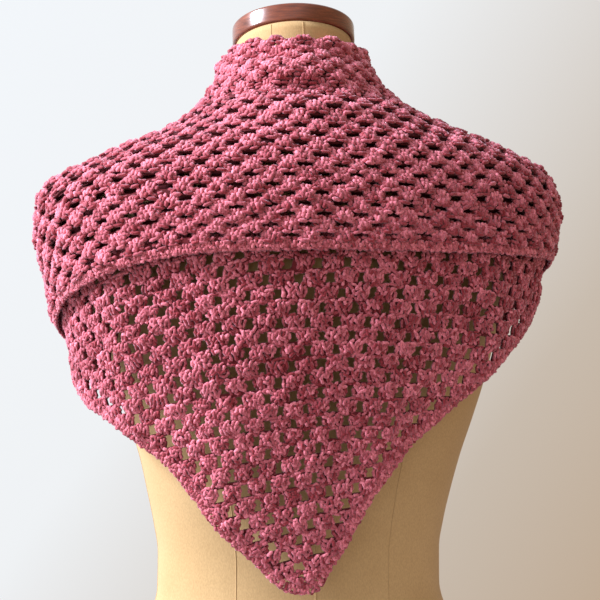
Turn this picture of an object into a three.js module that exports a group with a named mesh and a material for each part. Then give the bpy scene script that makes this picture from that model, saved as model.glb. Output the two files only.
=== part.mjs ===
// A crocheted triangular shawl on a limbless dress form. Millimetres, +Z up.
// The origin is the middle of the underside of the base board. The wearer's back faces -Y, the
// front +Y, and +X is on the right as seen from behind.
import * as THREE from "three";

// Driving dimensions
const GAP = 0.35; // clearance between pieces that meet edge to edge
const REST_GAP = 1.5; // stand-off of the cloth from the form it lies on, at the facets' middles
const LAYER_GAP = 2.8; // stand-off of the outer layer from the under layer, likewise
const FOLD_GAP = 0.7; // clearance between the under layer's top and the roll over it
const CLOTH = 4.5; // thickness of the crocheted cloth
const BORDER_WIDE = 6.5; // worked border, across its width
const BORDER_THICK = 6;
const BOARD_THICK = 18;
const BOARD_HALF_WIDTH = 176;
const BOARD_HALF_DEPTH = 134;
const NECK_TOP = 701; // height of the middle of the neck's slanted top
const NECK_TILT = 0.22; // fall of that top for each millimetre forward
const NECK_FORWARD = 36; // how far the neck's middle lies in front of the waist's
const CAP_RADIUS = 55;
const CAP_THICK = 17;
const AROUND_FORM = 40; // facets round the torso
const LOWEST_RIB = 5; // shortest stretch of the under layer at the front end

const DEG = Math.PI / 180;

// Shoulders and neck, where the shawl lies on the form: heights, half-widths to the left and to
// the right, and the back, widest and front depths.
const SHOULDERS = [
  { z: 587, left: 151, right: 151, back: -94, mid: 6, front: 103 },
  { z: 595, left: 133, right: 133, back: -89, mid: 7, front: 99 },
  { z: 603, left: 115, right: 115, back: -83, mid: 9, front: 96 },
  { z: 610, left: 103.5, right: 103.5, back: -77.5, mid: 11, front: 93 },
  { z: 618, left: 92.5, right: 92.5, back: -70.5, mid: 14, front: 90 },
  { z: 626, left: 84, right: 84, back: -63.5, mid: 17, front: 88 },
  { z: 636, left: 75.5, right: 75.5, back: -54.5, mid: 21, front: 86 },
  { z: 648, left: 67, right: 67, back: -45, mid: 25, front: 85 },
  { z: 658, left: 61, right: 61, back: -37.5, mid: 29, front: 85 },
  { z: 670, left: 56, right: 56, back: -29.5, mid: 32, front: 85.5 },
  { z: 684, left: 53, right: 53, back: -22.5, mid: 34.5, front: 87 },
  { z: NECK_TOP, left: 52, right: 52, back: -17, mid: NECK_FORWARD, front: 88 },
];

// The torso below the shoulders.
const TORSO = [
  { z: 18.3, left: 158, right: 158, back: -119, mid: 2, front: 100 },
  { z: 45, left: 164, right: 164, back: -126, mid: 2, front: 104 },
  { z: 80, left: 165, right: 165, back: -127, mid: 2, front: 105 },
  { z: 120, left: 159, right: 159, back: -121, mid: 2, front: 103 },
  { z: 160, left: 146, right: 146, back: -108, mid: 2, front: 99 },
  { z: 195, left: 132, right: 132, back: -93, mid: 2, front: 94.5 },
  { z: 225, left: 124, right: 124, back: -81, mid: 2, front: 91.5 },
  { z: 255, left: 123.5, right: 124, back: -78.5, mid: 2, front: 91.5 },
  { z: 280, left: 127, right: 128, back: -79, mid: 2, front: 93.5 },
  { z: 305, left: 132, right: 134, back: -82, mid: 2, front: 98 },
  { z: 337, left: 139, right: 143, back: -88, mid: 2, front: 107 },
  { z: 366, left: 148, right: 153, back: -94, mid: 2, front: 118 },
  { z: 400, left: 160, right: 164, back: -101, mid: 2, front: 130 },
  { z: 430, left: 170, right: 172, back: -106, mid: 2, front: 137 },
  { z: 465, left: 180, right: 180, back: -110, mid: 2, front: 139.5 },
  { z: 500, left: 187, right: 187, back: -110.5, mid: 2, front: 136 },
  { z: 530, left: 191, right: 191, back: -108, mid: 2, front: 128 },
  { z: 550, left: 191, right: 191, back: -105, mid: 2, front: 121 },
  { z: 564, left: 184, right: 184, back: -102, mid: 3, front: 114 },
  { z: 575, left: 171, right: 171, back: -98.5, mid: 5, front: 108.5 },
];

// The face that the shawl lies and hangs on. Below the shoulders the cloth falls straight from
// its widest line and stands off the waist. Its right shoulder is bunched and stands higher.
const DRAPE = [
  { z: 120, left: 184, right: 186, back: -107, mid: 2, front: 117 },
  { z: 238, left: 186, right: 190, back: -109, mid: 2, front: 122 },
  { z: 300, left: 187, right: 193, back: -112, mid: 2, front: 128 },
  { z: 350, left: 188, right: 195, back: -114, mid: 2, front: 135 },
  { z: 400, left: 190, right: 198, back: -116, mid: 2, front: 140 },
  { z: 430, left: 193, right: 202, back: -117, mid: 2, front: 143 },
  { z: 465, left: 199, right: 206, back: -117, mid: 2, front: 144 },
  { z: 500, left: 207, right: 211, back: -115.5, mid: 2, front: 140.5 },
  { z: 530, left: 213, right: 216, back: -111, mid: 2, front: 133 },
  { z: 550, left: 213, right: 219, back: -107.5, mid: 2, front: 125 },
  { z: 564, left: 202, right: 218, back: -103, mid: 3, front: 116.5 },
  { z: 575, left: 180, right: 211, back: -99, mid: 5, front: 110 },
  { z: 587, left: 153, right: 191, back: -94, mid: 6, front: 103 },
  { z: 595, left: 135, right: 175, back: -89, mid: 7, front: 99 },
  { z: 603, left: 117, right: 152, back: -83, mid: 9, front: 96 },
  { z: 610, left: 104.5, right: 131, back: -77.5, mid: 11, front: 93 },
  { z: 618, left: 93, right: 115, back: -70.5, mid: 14, front: 90 },
  { z: 626, left: 84.5, right: 101, back: -63.5, mid: 17, front: 88 },
  { z: 636, left: 76, right: 84, back: -54.5, mid: 21, front: 86 },
  { z: 648, left: 67.5, right: 71, back: -45, mid: 25, front: 85 },
  ...SHOULDERS.filter((row) => row.z > 650 && row.z < NECK_TOP),
  { z: NECK_TOP, left: 53, right: 53, back: -20, mid: NECK_FORWARD, front: 88 },
];

// Outlines on that face: height at each angle, 0 at the middle of the back and 180 at the front.
// The fold goes round the neck and down both sides of the open front.
const FOLD = [
  { angle: 0, z: 690.5 },
  { angle: 60, z: 688 },
  { angle: 90, z: 683 },
  { angle: 115, z: 673 },
  { angle: 128, z: 657 },
  { angle: 140, z: 634 },
  { angle: 152, z: 598 },
  { angle: 158, z: 576 },
  { angle: 161.6, z: 552 },
  { angle: 163.4, z: 518 },
  { angle: 165.4, z: 470 },
  { angle: 168.4, z: 430 },
  { angle: 172, z: 400 },
];
// The long side of the shawl, which hangs lower over the left arm.
const CAPE_RIGHT = [
  { angle: 0, z: 516 },
  { angle: 60, z: 516 },
  { angle: 78, z: 516 },
  { angle: 90, z: 508 },
  { angle: 100, z: 490 },
  { angle: 110, z: 465 },
  { angle: 120, z: 432 },
  { angle: 129, z: 400 },
  { angle: 136, z: 355 },
  { angle: 141, z: 300 },
  { angle: 146, z: 245 },
  { angle: 150.5, z: 195 },
  { angle: 155, z: 160 },
];
const CAPE_LEFT = [
  { angle: 0, z: 516 },
  { angle: 25, z: 514 },
  { angle: 42, z: 507 },
  { angle: 58, z: 494 },
  { angle: 72, z: 480 },
  { angle: 82, z: 468 },
  { angle: 92, z: 458 },
  { angle: 105, z: 444 },
  { angle: 118, z: 422 },
  { angle: 130, z: 392 },
  { angle: 139, z: 345 },
  { angle: 145, z: 280 },
  { angle: 150, z: 212 },
  { angle: 155, z: 160 },
];
const END_TOP = 172; // angle of the cape's front end at the fold
const END_LOW = 155; // and at its hanging point
// The slanted sides of the under layer, from its point up over the arm and down to the fold.
const PANEL_RIGHT = [
  { angle: 0, z: 261 },
  { angle: 3.7, z: 279 },
  { angle: 6.8, z: 298 },
  { angle: 9.5, z: 315 },
  { angle: 15, z: 341 },
  { angle: 19, z: 357 },
  { angle: 26.5, z: 376 },
  { angle: 35.5, z: 397 },
  { angle: 44, z: 416 },
  { angle: 54, z: 434.5 },
  { angle: 68, z: 459 },
  { angle: 76, z: 473 },
  { angle: 84, z: 487 },
  { angle: 94, z: 503 },
  { angle: 106, z: 514 },
  { angle: 120, z: 510 },
  { angle: 135, z: 482 },
  { angle: 150, z: 445 },
  { angle: 163, z: 410 },
  { angle: 172, z: 392 },
];
const PANEL_LEFT = [
  { angle: 0, z: 261 },
  { angle: 2.5, z: 247 },
  { angle: 7, z: 247.5 },
  { angle: 11.6, z: 257.5 },
  { angle: 15.6, z: 271 },
  { angle: 22.5, z: 290 },
  { angle: 30, z: 318 },
  { angle: 36.5, z: 341 },
  { angle: 45, z: 360 },
  { angle: 56, z: 378.5 },
  { angle: 69, z: 389 },
  { angle: 78, z: 401 },
  { angle: 88, z: 412 },
  { angle: 96, z: 430 },
  { angle: 104, z: 456 },
  { angle: 116, z: 482 },
  { angle: 135, z: 473 },
  { angle: 150, z: 442 },
  { angle: 163, z: 408 },
  { angle: 172, z: 392 },
];

// Largest folds of the outer layer: middle angle and height, half-extents, and how far the cloth
// stands out there. Share is how far down the cape the fold lies, 0 at the fold and 1 at the edge.
const CAPE_FOLDS = [
  { angle: -4, share: 0.17, wide: 75, deep: 0.09, out: 6 },
  { angle: 66, share: 0.15, wide: 34, deep: 0.12, out: 4 },
  { angle: -2, share: 0.4, wide: 60, deep: 0.08, out: 3.5 },
  { angle: -98, share: 0.46, wide: 34, deep: 0.26, out: 2.9 },
  { angle: -134, share: 0.85, wide: 8, deep: 0.45, out: 6 },
  { angle: 116, share: 0.8, wide: 9, deep: 0.35, out: 6 },
  { angle: 136, share: 0.85, wide: 7, deep: 0.45, out: 8 },
  { angle: 158, share: 0.6, wide: 8, deep: 0.4, out: 5 },
  { angle: -158, share: 0.6, wide: 8, deep: 0.4, out: 5 },
];
const CAPE_EDGE_LIFT = 1.5; // how far the long side stands off the under layer

// Hanging folds of the under layer: middle angle, half-width, and how far they stand out at the
// bottom.
const PANEL_FOLDS = [
  { angle: -52, wide: 11, out: 5 },
  { angle: -24, wide: 9, out: 3 },
  { angle: 14, wide: 10, out: 3.5 },
  { angle: 44, wide: 10, out: 4 },
];

// A smooth curve through a table's rows: a cubic between each pair that never overshoots.
function smoothColumn(rows, key, column) {
  const at = rows.map((row) => row[key]);
  const value = rows.map((row) => row[column]);
  const last = at.length - 1;
  const steep = at.slice(1).map((a, i) => (value[i + 1] - value[i]) / (a - at[i]));
  const slope = at.map((_, i) => {
    if (i === 0 || i === last) return steep[Math.min(i, last - 1)];
    const [before, after] = [steep[i - 1], steep[i]];
    return before * after <= 0 ? 0 : (2 * before * after) / (before + after);
  });
  return (wanted) => {
    const x = Math.min(Math.max(wanted, at[0]), at[last]);
    let i = 0;
    while (i < last - 1 && x > at[i + 1]) i += 1;
    const wide = at[i + 1] - at[i];
    const t = (x - at[i]) / wide;
    const [t2, t3] = [t * t, t * t * t];
    return (
      value[i] * (2 * t3 - 3 * t2 + 1) +
      slope[i] * wide * (t3 - 2 * t2 + t) +
      value[i + 1] * (3 * t2 - 2 * t3) +
      slope[i + 1] * wide * (t3 - t2)
    );
  };
}

// A body of level sections as a function of angle (radians) and height.
function sectionedBody(rows) {
  const columns = ["left", "right", "back", "mid", "front"];
  const smooth = {};
  for (const column of columns) smooth[column] = smoothColumn(rows, "z", column);
  return (angle, z) => {
    const [sin, cos] = [Math.sin(angle), Math.cos(angle)];
    const mid = smooth.mid(z);
    const half = sin > 0 ? smooth.right(z) : smooth.left(z);
    const depth = cos > 0 ? smooth.back(z) - mid : mid - smooth.front(z);
    return new THREE.Vector3(half * sin, mid + depth * cos, z);
  };
}

const formFace = sectionedBody([...TORSO, ...SHOULDERS]);
const drapeFace = sectionedBody(DRAPE);

// Outward direction of the drape at an angle and height.
function drapeNormal(angle, z) {
  const step = 0.02;
  const rise = 1.5;
  const along = drapeFace(angle + step, z).sub(drapeFace(angle - step, z));
  const up = drapeFace(angle, z + rise).sub(drapeFace(angle, z - rise));
  return along.cross(up).normalize();
}

function drapePoint(angle, z, out) {
  return drapeFace(angle, z).addScaledVector(drapeNormal(angle, z), out);
}

const foldHeight = smoothColumn(FOLD, "angle", "z");
const capeHeight = {
  right: smoothColumn(CAPE_RIGHT, "angle", "z"),
  left: smoothColumn(CAPE_LEFT, "angle", "z"),
};
const panelHeight = {
  right: smoothColumn(PANEL_RIGHT, "angle", "z"),
  left: smoothColumn(PANEL_LEFT, "angle", "z"),
};
const sideOf = (degrees) => (degrees < 0 ? "left" : "right");
const bell = (x) => (Math.abs(x) < 1 ? (1 + Math.cos(Math.PI * x)) / 2 : 0);

// Offset of each layer's faces from the drape.
const UNDER_IN = REST_GAP;
const UNDER_OUT = UNDER_IN + CLOTH;
const CAPE_IN = UNDER_OUT + LAYER_GAP;
const CAPE_OUT = CAPE_IN + CLOTH;

function panelLift(degrees, share) {
  let out = 0;
  for (const fold of PANEL_FOLDS) {
    out += fold.out * share * share * bell((degrees - fold.angle) / fold.wide);
  }
  return out;
}

function capeLift(degrees, share) {
  let out = CAPE_EDGE_LIFT * THREE.MathUtils.smoothstep(share, 0.55, 1);
  for (const fold of CAPE_FOLDS) {
    const across = bell((degrees - fold.angle) / fold.wide);
    out += fold.out * across * bell((share - fold.share) / fold.deep);
  }
  return out;
}

// Place on the cape: side is -1 or 1, along runs from the back (0) to the front end (1), and
// share from the fold (0) to the long side (1). A rib joins the fold to the long side. Where it
// falls further than the middle of the back does, it gains the rest towards its lower end.
function capePlace(side, along, share) {
  const edge = capeHeight[side < 0 ? "left" : "right"];
  const middleFall = edge(0) - foldHeight(0);
  const top = foldHeight(END_TOP * along);
  const moreFall = edge(END_LOW * along) - top - middleFall;
  const z = top + middleFall * share + moreFall * share * share;
  return { degrees: side * along * THREE.MathUtils.lerp(END_TOP, END_LOW, share), z };
}

function capePoint(side, along, share, out) {
  const { degrees, z } = capePlace(side, along, share);
  // A fold of the under layer pushes the cape out with it.
  return drapePoint(degrees * DEG, z, out + capeLift(degrees, share) + panelRise(degrees, z));
}

function panelRise(degrees, z) {
  const side = sideOf(degrees);
  const [top, low] = [foldHeight(Math.abs(degrees)), panelHeight[side](Math.abs(degrees))];
  return panelLift(degrees, Math.min(Math.max((top - z) / (top - low), 0), 1));
}

// Place on the under layer: share runs down from the fold to the slanted side.
function panelPoint(side, along, share, out) {
  const angle = END_TOP * along;
  const top = foldHeight(angle);
  const low = Math.min(panelHeight[side < 0 ? "left" : "right"](angle), top - LOWEST_RIB);
  const z = THREE.MathUtils.lerp(top, low, share);
  const degrees = side * angle;
  return drapePoint(degrees * DEG, z, out + panelLift(degrees, share));
}

// Direction in the cloth, square to an edge that runs through before and after.
function squareTo(before, after, outward) {
  return after.clone().sub(before).cross(outward).normalize();
}

// One closed solid through a row of loops with equal numbers of points, capped at both ends.
// Closed rows join their last loop to the first.
function loft(loops, closedRow = false) {
  const count = loops[0].length;
  const positions = loops.flat().flatMap((p) => [p.x, p.y, p.z]);
  const faces = [];
  const rows = closedRow ? loops.length : loops.length - 1;
  for (let i = 0; i < rows; i += 1) {
    const next = ((i + 1) % loops.length) * count;
    for (let j = 0; j < count; j += 1) {
      const k = (j + 1) % count;
      faces.push([i * count + j, next + k, next + j], [i * count + j, i * count + k, next + k]);
    }
  }
  if (!closedRow) {
    capLoop(loops, 0, faces, positions, false);
    capLoop(loops, loops.length - 1, faces, positions, true);
  }
  const geometry = new THREE.BufferGeometry();
  geometry.setAttribute("position", new THREE.Float32BufferAttribute(positions, 3));
  geometry.setIndex(faces.flat());
  geometry.computeVertexNormals();
  return geometry;
}

// A thin wall's end is closed by a ladder between its two faces, any other end by a fan.
function capLoop(loops, row, faces, positions, far) {
  const count = loops[row].length;
  const first = row * count;
  const add = (a, b, c) => faces.push(far ? [a, b, c] : [a, c, b]);
  let [low, high] = [0, count - 1];
  while (high - low > 1) {
    add(first + low, first + low + 1, first + high);
    if (high - low > 2) add(first + low + 1, first + high - 1, first + high);
    low += 1;
    high -= 1;
  }
}

function named(name, geometry, material) {
  const mesh = new THREE.Mesh(geometry, material);
  mesh.name = name;
  return mesh;
}

// Angles of the ribs at the fold. They are closer together at the point of the shawl, so that its
// outline keeps its corners, and where the fold runs down the front.
const RIB_ANGLES = [
  0, 2.5, 7, 11, 15, 19, 23, 27, 32, 37, 43, 49, 55, 61, 67, 73, 79, 85, 91, 97, 103, 109, 115,
  121, 127, 133, 139, 145, 150, 154, 157.5, 160, 161.7, 162.9, 164, 165.2, 166.8, 169, 172,
];

// Ribs run from the left front end round the back to the right front end.
const places = [
  ...RIB_ANGLES.slice(1).reverse().map((angle) => ({ side: -1, along: angle / END_TOP })),
  ...RIB_ANGLES.map((angle) => ({ side: 1, along: angle / END_TOP })),
];

// Outward and in-cloth directions at the fold, on each rib.
function foldFrames() {
  const middle = places.map(({ side, along }) => capePoint(side, along, 0, 0));
  return places.map(({ side, along }, i) => {
    const before = middle[Math.max(i - 1, 0)];
    const after = middle[Math.min(i + 1, middle.length - 1)];
    const { degrees, z } = capePlace(side, along, 0);
    const outward = drapeNormal(degrees * DEG, z);
    return { outward, up: squareTo(before, after, outward).negate() };
  });
}

// The outer layer: a wall with a rounded roll along the fold, which lies over the top of the
// under layer.
function foldedCape(material) {
  const shares = [
    0, 0.05, 0.1, 0.15, 0.2, 0.25, 0.3, 0.36, 0.42, 0.48, 0.54, 0.6, 0.66, 0.73, 0.81, 0.9, 1,
  ];
  const frames = foldFrames();
  const rollMiddle = (UNDER_IN + CAPE_OUT) / 2;
  const rollRadius = (CAPE_OUT - UNDER_IN) / 2;
  const loops = places.map(({ side, along }, i) => {
    const { outward, up } = frames[i];
    const inner = shares.map((share) => capePoint(side, along, share, CAPE_IN)).reverse();
    const outer = shares.map((share) => capePoint(side, along, share, CAPE_OUT));
    const base = capePoint(side, along, 0, 0);
    const roll = [0, 45, 90, 135].map((turn) =>
      base
        .clone()
        .addScaledVector(outward, rollMiddle - rollRadius * Math.cos(turn * DEG))
        .addScaledVector(up, rollRadius * Math.sin(turn * DEG)),
    );
    return [...inner, ...roll, ...outer];
  });
  return named("folded_cape", loft(loops), material);
}

// The under layer: a plain wall from just below the roll to the slanted sides.
function backPanel(material) {
  const shares = [
    0, 0.06, 0.12, 0.18, 0.24, 0.3, 0.36, 0.42, 0.48, 0.54, 0.6, 0.67, 0.75, 0.83, 0.91, 1,
  ];
  const frames = foldFrames();
  const lowered = (side, along, share, out, frame) => {
    const point = panelPoint(side, along, share, out);
    return share === 0 ? point.addScaledVector(frame.up, -FOLD_GAP) : point;
  };
  const loops = places.map(({ side, along }, i) => [
    ...shares.map((share) => lowered(side, along, share, UNDER_IN, frames[i])).reverse(),
    ...shares.map((share) => lowered(side, along, share, UNDER_OUT, frames[i])),
  ]);
  return named("back_panel", loft(loops), material);
}

// A border along an edge of the cloth: an oval bead beside the wall's end, GAP away from it. Each
// stretch of the path holds the middles of the wall's edge face with the outward directions of
// the cloth. At a corner between two stretches the bead turns about the corner.
function border(name, stretches, material) {
  const turns = [0, 60, 120, 180, 240, 300];
  const stations = stretches.flatMap((path) =>
    path.map(({ at, outward }, i) => {
      const before = path[Math.max(i - 1, 0)].at;
      const after = path[Math.min(i + 1, path.length - 1)].at;
      return { at, outward, away: squareTo(before, after, outward) };
    }),
  );
  const loops = [];
  stations.forEach((station, i) => {
    const last = stations[i - 1];
    if (last && last.at.distanceTo(station.at) < GAP) {
      const away = last.away.clone().add(station.away);
      if (away.length() < 0.5) away.crossVectors(last.outward, last.away).negate();
      loops.push(bead({ ...station, away: away.normalize() }, turns));
    }
    loops.push(bead(station, turns));
  });
  return named(name, loft(loops), material);
}

function bead({ at, outward, away }, turns) {
  const middle = at.clone().addScaledVector(away, GAP + BORDER_WIDE / 2);
  return turns.map((turn) =>
    middle
      .clone()
      .addScaledVector(away, -(BORDER_WIDE / 2) * Math.cos(turn * DEG))
      .addScaledVector(outward, (BORDER_THICK / 2) * Math.sin(turn * DEG)),
  );
}

function borderBack(material) {
  const path = places.map(({ side, along }) => {
    const at = panelPoint(side, along, 1, (UNDER_IN + UNDER_OUT) / 2);
    const outward = panelPoint(side, along, 1, UNDER_OUT).sub(at).normalize();
    return { at, outward };
  });
  return border("border_back", [path], material);
}

function capeEdgePlace(side, along, share) {
  const at = capePoint(side, along, share, (CAPE_IN + CAPE_OUT) / 2);
  const outward = capePoint(side, along, share, CAPE_OUT).sub(at).normalize();
  return { at, outward };
}

function borderCape(material) {
  const ends = [0.06, 0.16, 0.28, 0.41, 0.55, 0.69, 0.83, 1];
  const leftEnd = ends.map((share) => capeEdgePlace(-1, 1, share));
  const rightEnd = ends.map((share) => capeEdgePlace(1, 1, share)).reverse();
  const longSide = places.map(({ side, along }) => capeEdgePlace(side, along, 1));
  return border("border_cape", [leftEnd, longSide, rightEnd], material);
}

// The torso, closed by its flat underside and its slanted neck top.
function formTorso(material) {
  const heights = [...TORSO, ...SHOULDERS].map((row) => row.z);
  const loops = heights.map((z) => {
    const tilt = z === NECK_TOP ? NECK_TILT : 0;
    const loop = [];
    for (let i = 0; i < AROUND_FORM; i += 1) {
      const point = formFace((i / AROUND_FORM) * 2 * Math.PI, z);
      point.z -= tilt * (point.y - NECK_FORWARD);
      loop.push(point);
    }
    return loop;
  });
  return named("form_torso", loft(loops), material);
}

// The wooden cap: a turned disc with rounded rims, tilted like the neck's top.
function formNeckCap(material) {
  const rim = 2.5;
  const half = CAP_THICK / 2;
  const profile = [
    new THREE.Vector2(0, -half),
    new THREE.Vector2(CAP_RADIUS - rim, -half),
    new THREE.Vector2(CAP_RADIUS, rim - half),
    new THREE.Vector2(CAP_RADIUS, half - rim),
    new THREE.Vector2(CAP_RADIUS - rim, half),
    new THREE.Vector2(CAP_RADIUS * 0.55, half + 3),
    new THREE.Vector2(0, half + 4),
  ];
  const cap = named("form_neck_cap", new THREE.LatheGeometry(profile, 40), material);
  const tilt = Math.atan(NECK_TILT);
  cap.rotation.x = Math.PI / 2 - tilt;
  const rise = half + GAP;
  cap.position.set(0, NECK_FORWARD + rise * Math.sin(tilt), NECK_TOP + rise * Math.cos(tilt));
  return cap;
}

// The board: an oval with eased edges, flat below.
function formBase(material) {
  const bevel = 2;
  const outline = new THREE.Shape();
  outline.absellipse(
    0, 0, BOARD_HALF_WIDTH - bevel, BOARD_HALF_DEPTH - bevel, 0, 2 * Math.PI, false, 0,
  );
  const geometry = new THREE.ExtrudeGeometry(outline, {
    depth: BOARD_THICK - 2 * bevel,
    bevelThickness: bevel,
    bevelSize: bevel,
    bevelSegments: 1,
    curveSegments: 24,
  });
  const board = named("form_base", geometry, material);
  board.position.z = bevel;
  return board;
}

const yarn = new THREE.MeshStandardMaterial({ color: 0xc4607a, roughness: 0.95, metalness: 0 });
const borderYarn = new THREE.MeshStandardMaterial({ color: 0xcf7088, roughness: 0.95, metalness: 0 });
const jersey = new THREE.MeshStandardMaterial({ color: 0xdfc294, roughness: 0.85, metalness: 0 });
const wood = new THREE.MeshStandardMaterial({ color: 0x5c2c1c, roughness: 0.3, metalness: 0 });

const shawl = new THREE.Group();
shawl.add(foldedCape(yarn), backPanel(yarn), borderBack(borderYarn), borderCape(borderYarn));

const form = new THREE.Group();
form.add(formTorso(jersey), formNeckCap(wood), formBase(wood));

const part = new THREE.Group();
part.add(form, shawl);

export default part;
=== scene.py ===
"""Looks of a crocheted shawl on a dress form, for Blender 4.5.

Lengths in the tables and functions are millimetres, and meshes are made in metres. The wearer's
back faces -Y. Angles run from the middle of the back (0) to the front (180), to the right when
positive.
"""

import math

import bpy
import numpy as np
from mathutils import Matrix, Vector


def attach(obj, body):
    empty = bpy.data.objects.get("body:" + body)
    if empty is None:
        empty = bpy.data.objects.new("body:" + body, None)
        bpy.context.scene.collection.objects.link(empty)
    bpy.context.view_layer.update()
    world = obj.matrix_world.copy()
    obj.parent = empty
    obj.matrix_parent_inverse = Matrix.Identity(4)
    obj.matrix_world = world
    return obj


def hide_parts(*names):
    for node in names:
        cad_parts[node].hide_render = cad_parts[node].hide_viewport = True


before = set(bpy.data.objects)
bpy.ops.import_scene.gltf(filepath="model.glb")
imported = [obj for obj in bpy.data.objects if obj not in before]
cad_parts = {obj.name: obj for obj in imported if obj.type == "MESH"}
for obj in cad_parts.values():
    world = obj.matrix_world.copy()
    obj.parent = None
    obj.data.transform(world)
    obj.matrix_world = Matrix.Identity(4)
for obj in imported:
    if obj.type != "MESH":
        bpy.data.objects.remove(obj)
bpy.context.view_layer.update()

rng = np.random.default_rng(7)

# The same face as the solids, from the same named values.

GAP = 0.35  # clearance between the neck and its cap
REST_GAP = 1.5  # stand-off of the under layer from the form
LAYER_GAP = 2.8  # stand-off of the outer layer from the under layer
CLOTH = 4.5  # thickness of the cloth
BOARD_THICK = 18.0
BOARD_HALF_WIDTH = 176.0
BOARD_HALF_DEPTH = 134.0
FORM_FOOT = 18.3  # height of the torso's underside
NECK_TOP = 701.0  # height of the middle of the neck's slanted top
NECK_TILT = 0.22  # fall of that top for each millimetre forward
NECK_FORWARD = 36.0  # how far the neck's middle lies in front of the waist's
TILT_FROM = 684.0  # height from which the neck's sections tilt
CAP_RADIUS = 55.0
CAP_THICK = 17.0
LOWEST_RIB = 5.0  # shortest stretch of the under layer at the front end

UNDER_IN = REST_GAP
UNDER_OUT = UNDER_IN + CLOTH
CAPE_IN = UNDER_OUT + LAYER_GAP
CAPE_OUT = CAPE_IN + CLOTH
UNDER_MID = (UNDER_IN + UNDER_OUT) / 2
CAPE_MID = (CAPE_IN + CAPE_OUT) / 2

# Sections of the form's shoulders and neck, of its torso, and of the face that the cloth lies on.
SHOULDERS = [
    # z, left, right, back, mid, front
    (587, 151, 151, -94, 6, 103),
    (595, 133, 133, -89, 7, 99),
    (603, 115, 115, -83, 9, 96),
    (610, 103.5, 103.5, -77.5, 11, 93),
    (618, 92.5, 92.5, -70.5, 14, 90),
    (626, 84, 84, -63.5, 17, 88),
    (636, 75.5, 75.5, -54.5, 21, 86),
    (648, 67, 67, -45, 25, 85),
    (658, 61, 61, -37.5, 29, 85),
    (670, 56, 56, -29.5, 32, 85.5),
    (684, 53, 53, -22.5, 34.5, 87),
    (NECK_TOP, 52, 52, -17, NECK_FORWARD, 88),
]
TORSO = [
    # z, left, right, back, mid, front
    (FORM_FOOT, 158, 158, -119, 2, 100),
    (45, 164, 164, -126, 2, 104),
    (80, 165, 165, -127, 2, 105),
    (120, 159, 159, -121, 2, 103),
    (160, 146, 146, -108, 2, 99),
    (195, 132, 132, -93, 2, 94.5),
    (225, 124, 124, -81, 2, 91.5),
    (255, 123.5, 124, -78.5, 2, 91.5),
    (280, 127, 128, -79, 2, 93.5),
    (305, 132, 134, -82, 2, 98),
    (337, 139, 143, -88, 2, 107),
    (366, 148, 153, -94, 2, 118),
    (400, 160, 164, -101, 2, 130),
    (430, 170, 172, -106, 2, 137),
    (465, 180, 180, -110, 2, 139.5),
    (500, 187, 187, -110.5, 2, 136),
    (530, 191, 191, -108, 2, 128),
    (550, 191, 191, -105, 2, 121),
    (564, 184, 184, -102, 3, 114),
    (575, 171, 171, -98.5, 5, 108.5),
]
DRAPE = [
    # z, left, right, back, mid, front
    (120, 184, 186, -107, 2, 117),
    (238, 186, 190, -109, 2, 122),
    (300, 187, 193, -112, 2, 128),
    (350, 188, 195, -114, 2, 135),
    (400, 190, 198, -116, 2, 140),
    (430, 193, 202, -117, 2, 143),
    (465, 199, 206, -117, 2, 144),
    (500, 207, 211, -115.5, 2, 140.5),
    (530, 213, 216, -111, 2, 133),
    (550, 213, 219, -107.5, 2, 125),
    (564, 202, 218, -103, 3, 116.5),
    (575, 180, 211, -99, 5, 110),
    (587, 153, 191, -94, 6, 103),
    (595, 135, 175, -89, 7, 99),
    (603, 117, 152, -83, 9, 96),
    (610, 104.5, 131, -77.5, 11, 93),
    (618, 93, 115, -70.5, 14, 90),
    (626, 84.5, 101, -63.5, 17, 88),
    (636, 76, 84, -54.5, 21, 86),
    (648, 67.5, 71, -45, 25, 85),
    *[row for row in SHOULDERS if 650 < row[0] < NECK_TOP],
    (NECK_TOP, 53, 53, -20, NECK_FORWARD, 88),
]

# Outlines on that face: the fold, the long side of the cape, and the slanted sides of the under
# layer.
FOLD = [
    # angle, z
    (0, 690.5), (60, 688), (90, 683), (115, 673), (128, 657), (140, 634), (152, 598),
    (158, 576), (161.6, 552), (163.4, 518), (165.4, 470), (168.4, 430), (172, 400),
]
CAPE_RIGHT = [
    # angle, z
    (0, 516), (60, 516), (78, 516), (90, 508), (100, 490), (110, 465), (120, 432),
    (129, 400), (136, 355), (141, 300), (146, 245), (150.5, 195), (155, 160),
]
CAPE_LEFT = [
    # angle, z
    (0, 516), (25, 514), (42, 507), (58, 494), (72, 480), (82, 468), (92, 458),
    (105, 444), (118, 422), (130, 392), (139, 345), (145, 280), (150, 212), (155, 160),
]
END_TOP = 172.0  # angle of the cape's front end at the fold
END_LOW = 155.0  # and at its hanging point
PANEL_RIGHT = [
    # angle, z
    (0, 261), (3.7, 279), (6.8, 298), (9.5, 315), (15, 341), (19, 357), (26.5, 376),
    (35.5, 397), (44, 416), (54, 434.5), (68, 459), (76, 473), (84, 487), (94, 503),
    (106, 514), (120, 510), (135, 482), (150, 445), (163, 410), (172, 392),
]
PANEL_LEFT = [
    # angle, z
    (0, 261), (2.5, 247), (7, 247.5), (11.6, 257.5), (15.6, 271), (22.5, 290), (30, 318),
    (36.5, 341), (45, 360), (56, 378.5), (69, 389), (78, 401), (88, 412), (96, 430),
    (104, 456), (116, 482), (135, 473), (150, 442), (163, 408), (172, 392),
]
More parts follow.
